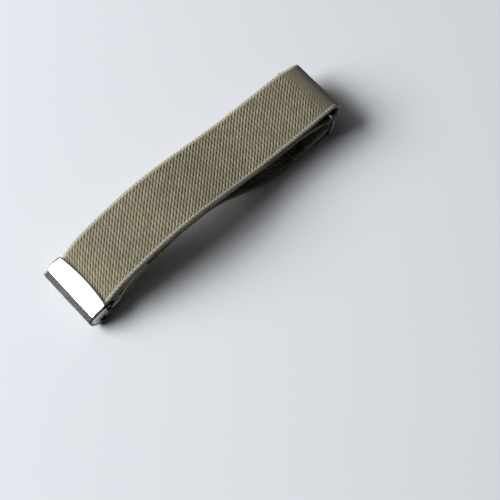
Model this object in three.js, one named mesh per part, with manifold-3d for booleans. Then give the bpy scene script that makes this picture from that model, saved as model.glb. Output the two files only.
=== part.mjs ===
// Adjustable elastic sleeve holder, lying on its back with its loop a little open.
// Units are millimetres and +Z is up. The strap runs along X: the slide buckle is at the -X end,
// the wire ring at the +X end, and the object stands on the floor z = 0.

import * as THREE from 'three';
import { mergeVertices } from 'three/addons/utils/BufferGeometryUtils.js';
import Module from 'manifold-3d';

const wasm = await Module();
wasm.setup();

// Webbing
const STRAP_WIDTH = 25;
const STRAP_THICKNESS = 1.5;
const LAYER_GAP = 0.3;
const LAYER_PITCH = STRAP_THICKNESS + LAYER_GAP;
const HALF_THICKNESS = STRAP_THICKNESS / 2;
const STATION_LENGTH = 4;
const STATION_TURN = THREE.MathUtils.degToRad(16);
const SAMPLES_PER_MM = 5;
const ARC_STEP = 24;
const EDGE_STEPS = 4;

// Metal
const SHEET = 0.8;
const CLEARANCE = 0.35;
const WIRE_RADIUS = 0.8;
const WIRE_SIDES = 12;
const BAR_SIDES = 16;

// Buckle cover, in its own frame: u along the strap, v up from its face, y across the strap
const BUCKLE_TILT = THREE.MathUtils.degToRad(33);
const BUCKLE_CENTRE = { x: 3.6, z: 7.05 };
const COVER_WIDTH = 27.2;
const COVER_HALF_LENGTH = 4.9;
const COVER_CROWN = 0.4;
const COVER_STEPS = 8;
const EAR_DEPTH = 7.2;
const EAR_FULLNESS = 0.9;
const EAR_INSET = 0.15;
const EAR_STEPS = 14;
const PIVOT = { u: 0.1, v: -4.15 };
const PIVOT_RADIUS = 0.8;
const PIVOT_HOLE_RADIUS = PIVOT_RADIUS + 0.3;
const PIVOT_REACH = 14.8;

// Rolled edges of the cover: how far each corner lies beyond the half length, and its v
const FRONT_EDGE = [
  { beyond: -0.25, v: -2.1 },
  { beyond: 0.2, v: -1.6 },
  { beyond: 0.3, v: -0.6 },
];
const BACK_EDGE = [
  { beyond: 0.25, v: -0.5 },
  { beyond: 0.15, v: -0.9 },
  { beyond: 0.1 - SHEET, v: -0.9 },
];
const FRONT_EDGE_INSIDE = { beyond: 0.2 - SHEET, v: -1.9 };

// Places along u where the strap runs flat under the cover, and where its turn starts
const UNDER_COVER = { back: 4.2, middle: 1.2, turn: -1.6 };

// Lever under the cover, in the cover's frame
const LEVER_BAR = { u: 8.9, v: -6.2 };
const LEVER_THICKNESS = 1;
const LEVER_BODY_WIDTH = 25;
const LEVER_SLOT_END = 5.9;
const LEVER_SHOULDER = 4.7;
const LEVER_OVERLAP = 0.5;
const BARREL_RADIUS = PIVOT_RADIUS + 0.15;
const LEVER_SIDE_WIDTH = 27.4;
const LEVER_SLOT_WIDTH = STRAP_WIDTH + 0.8;
const TOOTH_COUNT = 12;
const TOOTH_SHARE = 0.6;
const TOOTH_LENGTH = 1.9;
const TOOTH_TOP = 0.6;
const TOOTH_BOTTOM = -0.5;

// Wire ring and the two folds that it carries
const RING_OPENING = 28;
const RING_SHIFT = -1.2;
const RING_CORNER = 1.6;
const RING_CORNER_STEPS = 4;
const RING_UPPER = { x: 122.3, z: 11.3 };
const RING_LOWER_X = 120.2;
const EYE_RADIUS = WIRE_RADIUS + CLEARANCE + HALF_THICKNESS;
const LEVER_EYE = { from: -65, to: -245 };
const RING_EYE = { from: -90, to: 130 };
const END_FOLD = { x: 125.3, z: 9.4, radius: 3.95, from: -106, to: 90 };

// Height of the outer layer's upper face, from the buckle to the end fold
const OUTER_RUN = [
  { x: 12.3, top: 11.1 },
  { x: 16.4, top: 12.65 },
  { x: 22.5, top: 14.25 },
  { x: 30.7, top: 15.95 },
  { x: 40.9, top: 17.3 },
  { x: 49, top: 17.5 },
  { x: 56, top: 17.2 },
  { x: 66.5, top: 15.95 },
  { x: 77, top: 14.6 },
  { x: 87, top: 13.65 },
  { x: 97, top: 13.4 },
  { x: 106.3, top: 13.8 },
  { x: 114.5, top: 14.15 },
];

// Places where the inner layer lies one pitch under the outer one
const INNER_RUN_X = [98, 87, 77, 66.5, 56, 49, 41, 31, 23];

// Middle of the inner layer where it drops to the lower side of the end fold
const INNER_DROP = [
  { x: 119.4, z: 7.3 },
  { x: 114.5, z: 9.3 },
  { x: 107.6, z: 11.0 },
];

// Middle of the lower layer, from the buckle to the floor
const LOWER_RUN = [
  { x: 8.4, z: 0.8 },
  { x: 13.4, z: 1.95 },
  { x: 19.4, z: 4.7 },
  { x: 27.6, z: 8.35 },
  { x: 34.8, z: 10.9 },
  { x: 41.9, z: 12.4 },
  { x: 49, z: 12.75 },
  { x: 56.2, z: 12.4 },
  { x: 62.4, z: 11.2 },
  { x: 68.5, z: 9.0 },
  { x: 74.6, z: 6.0 },
  { x: 79.8, z: 3.65 },
  { x: 83.8, z: 2.0 },
  { x: 88, z: 1.05 },
  { x: 92, z: HALF_THICKNESS },
  { x: 99, z: HALF_THICKNESS },
  { x: 106, z: HALF_THICKNESS },
  { x: 113, z: HALF_THICKNESS },
];

// Sewn tails beside the two eyes
const BACK_TAIL = [
  { x: 28.8, z: 10.85 },
  { x: 23.6, z: 9.6 },
  { x: 19.2, z: 7.7 },
];
const RING_TAIL = [
  { x: 114, z: 3.4 },
  { x: 109.4, z: 2.75 },
  { x: 102.3, z: 2.6 },
];

// Sideways drift of the lower layer toward the ring, from no drift to all of it
const DRIFT = { from: 67, to: 106, y: -2.4 };

function buckleToWorld({ u, v }) {
  const cos = Math.cos(BUCKLE_TILT);
  const sin = Math.sin(BUCKLE_TILT);
  return { x: BUCKLE_CENTRE.x + u * cos - v * sin, z: BUCKLE_CENTRE.z + u * sin + v * cos };
}

function arc(centre, radius, fromDegrees, toDegrees) {
  const count = Math.ceil(Math.abs(toDegrees - fromDegrees) / ARC_STEP);
  const points = [];
  for (let i = 0; i <= count; i += 1) {
    const angle = THREE.MathUtils.degToRad(fromDegrees + ((toDegrees - fromDegrees) * i) / count);
    points.push({ x: centre.x + radius * Math.cos(angle), z: centre.z + radius * Math.sin(angle) });
  }
  return points;
}

function curveThrough(points) {
  const route = points.map((point) => new THREE.Vector3(point.x, 0, point.z));
  return new THREE.CatmullRomCurve3(route, false, 'centripetal');
}

// Turns the outer layer's upper face into the layer's middle line
function outerMiddle() {
  const face = curveThrough(OUTER_RUN.map((row) => ({ x: row.x, z: row.top })));
  return OUTER_RUN.map((row, i) => {
    const tangent = face.getTangent(i / (OUTER_RUN.length - 1));
    return { x: row.x + tangent.z * HALF_THICKNESS, z: row.top - tangent.x * HALF_THICKNESS };
  });
}

// A point of the line that lies one pitch under the outer layer at x
function underOuter(outerCurve, x) {
  let low = 0;
  let high = 1;
  for (let i = 0; i < 30; i += 1) {
    const middle = (low + high) / 2;
    if (outerCurve.getPoint(middle).x < x) low = middle;
    else high = middle;
  }
  const point = outerCurve.getPoint(low);
  const tangent = outerCurve.getTangent(low);
  return { x: point.x + tangent.z * LAYER_PITCH, z: point.z - tangent.x * LAYER_PITCH };
}

// The whole middle line of the strap, from the tail at the lever's bar to the tail at the ring
function strapRoute() {
  const eye = buckleToWorld(LEVER_BAR);
  const outer = outerMiddle();
  const outerCurve = curveThrough(outer);
  const inner = INNER_RUN_X.map((x) => underOuter(outerCurve, x));
  const underCover = -SHEET - CLEARANCE - HALF_THICKNESS;
  const turnStart = buckleToWorld({ u: UNDER_COVER.turn, v: underCover });
  const turnRadius = (turnStart.z - HALF_THICKNESS) / (1 + Math.cos(BUCKLE_TILT));
  const turnCentre = {
    x: turnStart.x + turnRadius * Math.sin(BUCKLE_TILT),
    z: turnStart.z - turnRadius * Math.cos(BUCKLE_TILT),
  };
  const tilt = THREE.MathUtils.radToDeg(BUCKLE_TILT);
  const ringEye = { x: RING_LOWER_X, z: HALF_THICKNESS + EYE_RADIUS };
  return [
    ...BACK_TAIL,
    ...arc(eye, EYE_RADIUS, LEVER_EYE.from, LEVER_EYE.to),
    ...inner.toReversed(),
    ...INNER_DROP.toReversed(),
    ...arc(END_FOLD, END_FOLD.radius, END_FOLD.from, END_FOLD.to),
    ...outer.toReversed(),
    buckleToWorld({ u: UNDER_COVER.back, v: underCover }),
    buckleToWorld({ u: UNDER_COVER.middle, v: underCover }),
    ...arc(turnCentre, turnRadius, 90 + tilt, 270),
    ...LOWER_RUN,
    ...arc(ringEye, EYE_RADIUS, RING_EYE.from, RING_EYE.to),
    ...RING_TAIL,
  ];
}

// Stations along the route, closer together where it turns, with the sideways drift added and
// the webbing kept on top of the floor
function strapStations(route) {
  const curve = curveThrough(route);
  const length = curve.getLength();
  const fine = curve.getSpacedPoints(Math.ceil(length * SAMPLES_PER_MM));
  const stations = [];
  let lastHeading = null;
  let sinceLast = 0;
  let lowerLayer = false;
  for (let i = 0; i < fine.length; i += 1) {
    const before = fine[Math.max(i - 1, 0)];
    const after = fine[Math.min(i + 1, fine.length - 1)];
    const heading = Math.atan2(after.z - before.z, after.x - before.x);
    const step = i === 0 ? 0 : fine[i].distanceTo(fine[i - 1]);
    sinceLast += step;
    if (i > fine.length / 2 && fine[i].x < DRIFT.from) lowerLayer = true;
    const turned = lastHeading === null
      ? Infinity
      : Math.abs(Math.atan2(Math.sin(heading - lastHeading), Math.cos(heading - lastHeading)));
    const isEnd = i === fine.length - 1;
    if (turned > STATION_TURN || sinceLast > STATION_LENGTH || isEnd) {
      const share = THREE.MathUtils.smoothstep(fine[i].x, DRIFT.from, DRIFT.to);
      const drift = lowerLayer ? DRIFT.y * share : 0;
      stations.push({
        point: new THREE.Vector3(fine[i].x, drift, Math.max(fine[i].z, HALF_THICKNESS)),
        normal: new THREE.Vector3(-Math.sin(heading), 0, Math.cos(heading)),
        side: new THREE.Vector3(0, 1, 0),
      });
      lastHeading = heading;
      sinceLast = 0;
    }
  }
  return stations;
}

// Sweeps a convex section, given as [normal, side] pairs, through the stations
function sweep(stations, section, closed) {
  const positions = [];
  for (const { point, normal, side } of stations) {
    for (const [alongNormal, alongSide] of section) {
      const corner = point.clone();
      corner.addScaledVector(normal, alongNormal).addScaledVector(side, alongSide);
      positions.push(corner.x, corner.y, corner.z);
    }
  }
  const count = section.length;
  const faces = [];
  const spans = closed ? stations.length : stations.length - 1;
  for (let i = 0; i < spans; i += 1) {
    const here = i * count;
    const next = ((i + 1) % stations.length) * count;
    for (let k = 0; k < count; k += 1) {
      const other = (k + 1) % count;
      faces.push(here + k, next + k, next + other);
      faces.push(here + k, next + other, here + other);
    }
  }
  if (!closed) {
    const last = (stations.length - 1) * count;
    for (let k = 1; k < count - 1; k += 1) {
      faces.push(0, k, k + 1);
      faces.push(last, last + k + 1, last + k);
    }
  }
  const geometry = new THREE.BufferGeometry();
  geometry.setAttribute('position', new THREE.Float32BufferAttribute(positions, 3));
  geometry.setIndex(faces);
  return geometry;
}

// Webbing section with rounded edges
function strapSection() {
  const section = [];
  const flat = STRAP_WIDTH / 2 - HALF_THICKNESS;
  for (const edge of [1, -1]) {
    for (let i = 0; i <= EDGE_STEPS; i += 1) {
      const angle = Math.PI / 2 - (Math.PI * i) / EDGE_STEPS;
      section.push([
        edge * HALF_THICKNESS * Math.sin(angle),
        edge * (flat + HALF_THICKNESS * Math.cos(angle)),
      ]);
    }
  }
  return section;
}

function roundSection(radius, sides) {
  const section = [];
  for (let i = 0; i < sides; i += 1) {
    const angle = (2 * Math.PI * i) / sides;
    section.push([radius * Math.cos(angle), radius * Math.sin(angle)]);
  }
  return section;
}

// Closed wire of the ring, standing between its two bars
function ringGeometry() {
  const lower = new THREE.Vector3(RING_LOWER_X, RING_SHIFT, HALF_THICKNESS + EYE_RADIUS);
  const upper = new THREE.Vector3(RING_UPPER.x, RING_SHIFT, RING_UPPER.z);
  const rise = upper.clone().sub(lower);
  const up = rise.clone().normalize();
  const across = new THREE.Vector3(0, 1, 0);
  const side = new THREE.Vector3().crossVectors(across, up);
  const centre = lower.clone().add(upper).multiplyScalar(0.5);
  const cornerUp = rise.length() / 2 - RING_CORNER;
  const cornerAcross = RING_OPENING / 2 + WIRE_RADIUS - RING_CORNER;
  const quadrants = [
    { up: 1, across: 1, from: 0 },
    { up: 1, across: -1, from: 90 },
    { up: -1, across: -1, from: 180 },
    { up: -1, across: 1, from: 270 },
  ];
  const stations = [];
  for (const quadrant of quadrants) {
    for (let i = 0; i <= RING_CORNER_STEPS; i += 1) {
      const angle = THREE.MathUtils.degToRad(quadrant.from + (90 * i) / RING_CORNER_STEPS);
      const normal = across.clone().multiplyScalar(Math.cos(angle));
      normal.addScaledVector(up, Math.sin(angle));
      const point = centre.clone();
      point.addScaledVector(up, quadrant.up * cornerUp);
      point.addScaledVector(across, quadrant.across * cornerAcross);
      point.addScaledVector(normal, RING_CORNER);
      stations.push({ point, normal, side });
    }
  }
  return sweep(stations, roundSection(WIRE_RADIUS, WIRE_SIDES), true);
}

// Solids for joining and cutting
function toSolid(geometry) {
  const bare = geometry.clone();
  bare.deleteAttribute('normal');
  bare.deleteAttribute('uv');
  const merged = mergeVertices(bare, 1e-4);
  return new wasm.Manifold(new wasm.Mesh({
    numProp: 3,
    vertProperties: new Float32Array(merged.attributes.position.array),
    triVerts: new Uint32Array(merged.index.array),
  }));
}

function fromSolid(solid) {
  const mesh = solid.getMesh();
  const geometry = new THREE.BufferGeometry();
  geometry.setAttribute('position', new THREE.BufferAttribute(mesh.vertProperties, 3));
  geometry.setIndex(new THREE.BufferAttribute(mesh.triVerts, 1));
  return geometry;
}

// Extrudes a side view drawn in u and v across the strap, between two values of y
function acrossStrap(outline, fromY, toY) {
  const shape = new THREE.Shape(outline.map(([u, v]) => new THREE.Vector2(u, v)));
  const geometry = new THREE.ExtrudeGeometry(shape, { depth: toY - fromY, bevelEnabled: false });
  geometry.rotateX(Math.PI / 2);
  geometry.translate(0, toY, 0);
  return toSolid(geometry);
}

// Round bar across the strap, in the buckle's frame
function roundBar(centre, radius, fromY, toY) {
  const outline = roundSection(radius, BAR_SIDES).map(([u, v]) => [centre.u + u, centre.v + v]);
  return acrossStrap(outline, fromY, toY);
}

// Domed cover plate with its two rolled edges: the outer side, then the inner side back
function coverOutline() {
  const outer = [];
  const inner = [];
  for (let i = 0; i <= COVER_STEPS; i += 1) {
    const share = (2 * i) / COVER_STEPS - 1;
    const crown = COVER_CROWN * (1 - share * share);
    outer.push([share * COVER_HALF_LENGTH, crown]);
    inner.push([share * (COVER_HALF_LENGTH - SHEET), crown - SHEET]);
  }
  const front = ({ beyond, v }) => [-COVER_HALF_LENGTH - beyond, v];
  const back = ({ beyond, v }) => [COVER_HALF_LENGTH + beyond, v];
  return [
    ...FRONT_EDGE.map(front),
    ...outer,
    ...BACK_EDGE.map(back),
    ...inner.toReversed(),
    front(FRONT_EDGE_INSIDE),
  ].toReversed();
}

// Leaf-shaped ear, deepest in its middle
function earOutline() {
  const outline = [];
  const reach = COVER_HALF_LENGTH - EAR_INSET;
  for (let i = 0; i <= EAR_STEPS; i += 1) {
    const angle = (Math.PI * i) / EAR_STEPS;
    outline.push([reach * Math.cos(angle), -EAR_DEPTH * Math.sin(angle) ** EAR_FULLNESS]);
  }
  return outline.toReversed();
}

function coverGeometry() {
  const half = COVER_WIDTH / 2;
  let cover = acrossStrap(coverOutline(), -half, half);
  for (const side of [-1, 1]) {
    const outer = side * half;
    const inner = side * (half - SHEET);
    cover = cover.add(acrossStrap(earOutline(), Math.min(inner, outer), Math.max(inner, outer)));
  }
  return fromSolid(cover.subtract(roundBar(PIVOT, PIVOT_HOLE_RADIUS, -PIVOT_REACH, PIVOT_REACH)));
}

// Gripping plate: barrel on the pivot, arms round the slot, the bar for the sewn end, a row of teeth
function leverGeometry() {
  const half = LEVER_THICKNESS / 2;
  const body = LEVER_BODY_WIDTH / 2;
  const wide = LEVER_SIDE_WIDTH / 2;
  const slope = (LEVER_BAR.v - PIVOT.v) / (LEVER_BAR.u - PIVOT.u);
  const plateV = (u) => PIVOT.v + slope * (u - PIVOT.u);
  const plate = (fromU, toU, halfHeight) => [
    [fromU, plateV(fromU) - halfHeight],
    [toU, plateV(toU) - halfHeight],
    [toU, plateV(toU) + halfHeight],
    [fromU, plateV(fromU) + halfHeight],
  ];
  const front = plate(PIVOT.u, LEVER_SHOULDER + LEVER_OVERLAP, half);
  const arms = plate(LEVER_SHOULDER, LEVER_BAR.u + WIRE_RADIUS, half);
  const slot = plate(LEVER_SLOT_END, LEVER_BAR.u - WIRE_RADIUS, LEVER_THICKNESS);
  let lever = acrossStrap(front, -body, body);
  lever = lever.add(acrossStrap(arms, -wide, wide));
  lever = lever.subtract(acrossStrap(slot, -LEVER_SLOT_WIDTH / 2, LEVER_SLOT_WIDTH / 2));
  lever = lever.add(roundBar(PIVOT, BARREL_RADIUS, -body, body));
  lever = lever.add(roundBar(PIVOT, PIVOT_RADIUS, -PIVOT_REACH, PIVOT_REACH));
  const tooth = [
    [PIVOT.u - TOOTH_LENGTH, PIVOT.v + TOOTH_TOP],
    [PIVOT.u, PIVOT.v + TOOTH_BOTTOM],
    [PIVOT.u, PIVOT.v + TOOTH_TOP],
  ];
  const pitch = LEVER_BODY_WIDTH / TOOTH_COUNT;
  for (let i = 0; i < TOOTH_COUNT; i += 1) {
    const from = -body + (i + (1 - TOOTH_SHARE) / 2) * pitch;
    lever = lever.add(acrossStrap(tooth, from, from + TOOTH_SHARE * pitch));
  }
  return fromSolid(lever);
}

// Materials
const webbing = new THREE.MeshStandardMaterial({ color: 0x8c8269, roughness: 0.95, metalness: 0 });
const coverPlate = new THREE.MeshStandardMaterial({ color: 0xdadde0, roughness: 0.12, metalness: 1 });
const leverPlate = new THREE.MeshStandardMaterial({ color: 0xb9bcc0, roughness: 0.3, metalness: 1 });
const ringPlate = new THREE.MeshStandardMaterial({ color: 0xc4c7ca, roughness: 0.2, metalness: 1 });

function namedMesh(name, geometry, material) {
  const mesh = new THREE.Mesh(geometry, material);
  mesh.name = name;
  return mesh;
}

// Assembly, with the origin moved to the middle of the footprint
const strapGeometry = sweep(strapStations(strapRoute()), strapSection(), false);
const buckle = new THREE.Group();
buckle.position.set(BUCKLE_CENTRE.x, 0, BUCKLE_CENTRE.z);
buckle.rotation.y = -BUCKLE_TILT;
buckle.add(namedMesh('buckle_cover', coverGeometry(), coverPlate));
buckle.add(namedMesh('buckle_lever', leverGeometry(), leverPlate));

const holder = new THREE.Group();
holder.add(namedMesh('elastic_strap', strapGeometry, webbing));
holder.add(buckle);
holder.add(namedMesh('wire_ring', ringGeometry(), ringPlate));
holder.updateMatrixWorld(true);
const footprint = new THREE.Box3().setFromObject(holder, true);
const middle = footprint.getCenter(new THREE.Vector3());
holder.position.set(-middle.x, -middle.y, -footprint.min.z);
holder.updateMatrixWorld(true);

export default holder;
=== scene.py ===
# %% [markdown]
# # An elastic sleeve holder
# This holder is a loop of twill webbing that is worn round the upper arm. A plated slide buckle
# sets its length, and a wire ring carries the far end. The solid model of its four pieces is
# loaded first. It fixes the holder's place and size, so that each detailed piece below can be made
# straight at its own place, in metres.

# %% Load the solid model
import math
import bmesh
import bpy
import numpy as np
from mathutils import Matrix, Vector


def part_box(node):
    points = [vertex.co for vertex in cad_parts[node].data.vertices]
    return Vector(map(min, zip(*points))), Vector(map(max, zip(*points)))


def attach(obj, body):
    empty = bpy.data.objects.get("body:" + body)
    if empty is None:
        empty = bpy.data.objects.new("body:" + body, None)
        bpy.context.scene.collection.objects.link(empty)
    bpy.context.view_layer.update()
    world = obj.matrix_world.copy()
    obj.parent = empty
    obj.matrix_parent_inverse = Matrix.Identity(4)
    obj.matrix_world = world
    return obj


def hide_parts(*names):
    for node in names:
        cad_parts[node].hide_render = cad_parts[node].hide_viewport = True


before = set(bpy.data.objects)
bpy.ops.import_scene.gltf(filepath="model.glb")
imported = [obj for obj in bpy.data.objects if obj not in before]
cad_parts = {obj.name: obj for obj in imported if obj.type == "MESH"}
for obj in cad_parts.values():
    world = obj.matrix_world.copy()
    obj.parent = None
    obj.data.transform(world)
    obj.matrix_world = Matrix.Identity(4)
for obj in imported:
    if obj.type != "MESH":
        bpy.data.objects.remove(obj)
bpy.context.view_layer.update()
MM = 0.001

# %% [markdown]
# ## Camera
# The picture looks steeply down at the holder, which lies slantwise in it. A long lens at about
# half a metre gives the same mild perspective. The camera could be placed by eye, but its aim
# point, distance and two angles say the same thing in four values that are easy to read.

# %% Camera
AIM = Vector((-1.36, -29.11, 0)) * MM
CAMERA_DISTANCE = 452 * MM
CAMERA_ELEVATION = math.radians(63)
CAMERA_HEADING = math.radians(44.16)
level = Vector((math.sin(CAMERA_HEADING), math.cos(CAMERA_HEADING), 0))


def add_object(name, data):
    """A new object in the scene with this data."""
    made = bpy.data.objects.new(name, data)
    bpy.context.scene.collection.objects.link(made)
    return made


camera_data = bpy.data.cameras.new("camera")
camera_data.sensor_width = 36
camera_data.lens = 86.4
camera_data.clip_start = 0.01
camera = add_object("camera", camera_data)
camera.location = AIM - level * CAMERA_DISTANCE * math.cos(CAMERA_ELEVATION)
camera.location.z = CAMERA_DISTANCE * math.sin(CAMERA_ELEVATION)
camera.rotation_euler = (AIM - camera.location).to_track_quat("-Z", "Y").to_euler()
bpy.context.scene.camera = camera
print("camera at", [round(v, 3) for v in camera.location])

# %% [markdown]
# ## Shader arithmetic
# A procedural finish is a small sum over the surface. Written node by node it is hard to read, so
# a socket is wrapped in a class that understands Python's signs, and each sign adds one Math node.
# Every other node comes from one method, which takes its type, its settings and its sockets.

# %% Shader arithmetic
class Value:
    """A socket in a tree of nodes, on which Python's signs add Math nodes."""

    def __init__(self, tree, socket):
        self.tree = tree
        self.socket = socket

    def maths(self, operation, *values):
        sockets = dict(enumerate(values))
        return self.tree.node("Math", {"operation": operation}, sockets)

    def __add__(self, other):
        return self.maths("ADD", self, other)

    __radd__ = __add__

    def __sub__(self, other):
        return self.maths("SUBTRACT", self, other)

    def __rsub__(self, other):
        return self.maths("SUBTRACT", other, self)

    def __mul__(self, other):
        return self.maths("MULTIPLY", self, other)

    __rmul__ = __mul__

    def __truediv__(self, other):
        return self.maths("DIVIDE", self, other)

    def floor(self):
        return self.maths("FLOOR", self)

    def size(self):
        return self.maths("ABSOLUTE", self)

    def sine(self):
        return self.maths("SINE", self)

    def root(self):
        return self.maths("SQRT", self.maths("MAXIMUM", self, 0))

    def larger(self, other):
        return self.maths("MAXIMUM", self, other)

    def step(self, low, high):
        """0 up to low, 1 from high on, and a soft step between."""
        settings = {"interpolation_type": "SMOOTHSTEP"}
        sockets = {"Value": self, "From Min": low, "From Max": high}
        return self.tree.node("MapRange", settings, sockets)


class NodeTree:
    """The nodes of a finish or of the sky."""

    def __init__(self, tree):
        self.nodes = tree.nodes
        self.links = tree.links

    def fill(self, socket, value):
        """Links a socket to a value of the tree, or sets it."""
        if isinstance(value, Value):
            self.links.new(value.socket, socket)
        else:
            socket.default_value = value

    def node(self, kind, settings=None, sockets=None, output=0):
        """A new node with these settings, its sockets filled, as one of its outputs."""
        node = self.nodes.new("ShaderNode" + kind)
        for key, value in (settings or {}).items():
            setattr(node, key, value)
        for key, value in (sockets or {}).items():
            self.fill(node.inputs[key], value)
        return Value(self, node.outputs[output])

    def axes(self, vector):
        return [self.node("SeparateXYZ", None, {0: vector}, axis) for axis in range(3)]

    def noise(self, place, scale, detail=2.0):
        sockets = {"Vector": place, "Scale": scale, "Detail": detail}
        return self.node("TexNoise", None, sockets)

    def blend(self, share, low, high):
        """A colour between two colours."""
        sockets = {0: share, 6: low, 7: high}
        return self.node("Mix", {"data_type": "RGBA"}, sockets, 2)


class Finish(NodeTree):
    """A material with one main shader, whose fixed values are set on its own sockets."""

    def __init__(self, name, **fixed):
        self.material = bpy.data.materials.new(name)
        self.material.use_nodes = True
        super().__init__(self.material.node_tree)
        self.shader = self.nodes["Principled BSDF"]
        for key, value in fixed.items():
            self.set(key.replace("_", " "), value)

    def set(self, socket, value):
        """Links one of the main shader's sockets, or sets it."""
        self.fill(self.shader.inputs[socket], value)

    def place(self):
        """The point of the surface in the holder's own frame, in millimetres."""
        place = self.node("TexCoord", output=3)
        return self.node("VectorMath", {"operation": "SCALE"}, {0: place, "Scale": 1000})

    def bump(self, height, depth):
        """Relief that is depth metres deep where the height goes from 0 to 1."""
        sockets = {"Height": height, "Distance": depth, "Strength": 1.0}
        self.set("Normal", self.node("Bump", None, sockets))


def colour(red, green, blue):
    """A display colour from 0 to 255, as the light that a shader works with."""
    light = [((c / 255 + 0.055) / 1.055) ** 2.4 for c in (red, green, blue)]
    return (*light, 1.0)


print("a display grey of 128 is", round(colour(128, 128, 128)[0], 3), "as light")

# %% [markdown]
# ## Floor and light
# The holder lies on a pale sheet under soft light. One large panel behind it, on the buckle's side,
# does most of the work and throws the wide soft shadow. Several small lamps would make several
# shadows. A second panel overhead is seen by mirrors alone: the bright cover mirrors it over its
# whole face, and the floor and the webbing get no light from it. The sky adds a soft glow from the
# first panel's side. It stays dark near the horizon and on the camera's side, which keeps the shadow
# deep and gives plated edges their dark lines.

# %% Floor and light
FLOOR_REACH = 4.0
PANEL = {"place": Vector((-1.13, 1.01, 0.91)), "width": 1.45, "height": 1.0, "power": 57.0}
SHINE = {"place": Vector((-0.46, 0.50, 1.20)), "width": 1.0, "height": 1.0, "power": 8.0}

floor_sides = ((-1, -1), (1, -1), (1, 1), (-1, 1))
floor_corners = [(x * FLOOR_REACH, y * FLOOR_REACH, 0) for x, y in floor_sides]
floor_mesh = bpy.data.meshes.new("floor")
floor_mesh.from_pydata(floor_corners, [], [(0, 1, 2, 3)])
floor = add_object("floor", floor_mesh)
paper = Finish("pale_floor", Roughness=0.9, Specular_IOR_Level=0.1)
cloudy = paper.noise(paper.place(), 0.004)
paper.set("Base Color", paper.blend(cloudy, colour(226, 230, 236), colour(232, 235, 240)))
floor.data.materials.append(paper.material)


def add_panel(name, place, width, height, power):
    """A rectangular light that faces the holder."""
    light = bpy.data.lights.new(name, "AREA")
    light.shape = "RECTANGLE"
    light.size = width
    light.size_y = height
    light.energy = power
    panel = add_object(name, light)
    panel.location = place
    panel.rotation_euler = (-place).to_track_quat("-Z", "Y").to_euler()
    print(name, "at", [round(v, 2) for v in place])
    return panel


add_panel("panel", **PANEL)
add_panel("shine", **SHINE).visible_diffuse = False

# %% Sky
GLOW_SIDE = Vector((-0.40, 0.80, 0.45)).normalized()
GLOW_ACROSS = (0.4, 1.0)
GLOW_HEIGHT = (-0.15, 0.80)
SKY_DARK = (0.02, 0.02, 0.021, 1)
SKY_BRIGHT = (0.44, 0.45, 0.46, 1)

world = bpy.data.worlds.new("studio")
world.use_nodes = True
bpy.context.scene.world = world
sky = NodeTree(world.node_tree)
toward = sky.node("TexCoord")
facing = sky.node("VectorMath", {"operation": "DOT_PRODUCT"}, {0: toward, 1: GLOW_SIDE}, 1)
height = sky.axes(toward)[2]
share = facing.step(*GLOW_ACROSS) * height.step(*GLOW_HEIGHT)
sky.fill(sky.nodes["Background"].inputs["Color"], sky.blend(share, SKY_DARK, SKY_BRIGHT))
bpy.context.scene.view_settings.view_transform = "Standard"
print("sky glows towards", [round(v, 2) for v in GLOW_SIDE])

# %% [markdown]
# ## The strap's route
# Webbing is one long ribbon. It starts sewn round the lever's bar, runs to the ring, folds back
# over itself, passes under the buckle cover, turns there and ends sewn round the ring. It could be
# modelled layer by layer, but one middle line through the whole route keeps the layers joined and
# gives each point of the weave its place along the ribbon. The line's points are in millimetres,
# in a frame that starts at the buckle.

# %% Sizes of the strap and the buckle
WIDTH = 25.0
THICKNESS = 1.5
HALF = THICKNESS / 2
PITCH = THICKNESS + 0.3
SHEET = 0.8
CLEARANCE = 0.35
WIRE_RADIUS = 0.8
EYE = WIRE_RADIUS + CLEARANCE + HALF
TILT = math.radians(24)
YAW = math.radians(-1.8)
BUCKLE = (3.6, 7.05)
PIVOT = (0.1, -4.15)
LEVER_BAR = (9.12, -4.7)
RING_UPPER = (122.3, 11.3)
RING_LOWER_X = 120.2
FOLD = {"centre": (125.3, 9.4), "radius": 3.95}
UNDER_COVER = {"back": 4.2, "middle": 1.2, "turn": -1.6}
BACK_RISE = 0.35

# Height of the outer layer's upper face at x
OUTER_TOP = {12.3: 10.85, 16.4: 12.65, 22.5: 14.25, 30.7: 15.95, 40.9: 17.3, 49.0: 17.5,
             56.0: 17.2, 66.5: 15.95, 77.0: 14.6, 87.0: 13.65, 97.0: 13.4, 106.3: 13.8,
             114.5: 14.15}
# Places where the inner layer lies one pitch under the outer one
INNER_X = [98, 87, 77, 66.5, 56, 49, 41, 31, 23]
# Middle of the inner layer where it leaves the outer one, x: z
INNER_DROP = {119.4: 7.3, 114.5: 9.3, 107.6: 11.0}
# Middle of the lower layer, x: z
LOWER = {8.4: 0.8, 13.4: 1.95, 19.4: 4.7, 27.6: 8.35, 34.8: 10.9, 41.9: 12.4, 49.0: 12.75,
         56.2: 12.4, 62.4: 11.2, 68.5: 9.0, 74.6: 6.0, 79.8: 3.65, 83.8: 2.0, 88.0: 1.05,
         92.0: HALF, 99.0: HALF, 106.0: HALF, 113.0: HALF}
# The two sewn tails, x: z
BACK_TAIL = {28.8: 10.85, 23.6: 9.6, 19.2: 7.7}
RING_TAIL = {114.0: 3.4, 109.4: 2.75, 102.3: 2.6}
# Sideways place of each layer, x: y
OUTER_ASIDE = {4.0: 0.0, 13.0: 0.35, 92.0: 0.3, 118.0: -0.35, 128.0: -0.9}
INNER_ASIDE = {16.0: -0.2, 36.0: 0.5, 75.0: 0.6, 112.0: -0.35, 118.0: -0.35, 128.0: -0.9}
LOWER_ASIDE = {4.0: 0.0, 34.0: 0.5, 60.0: 0.6, 106.0: -2.2}
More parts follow.
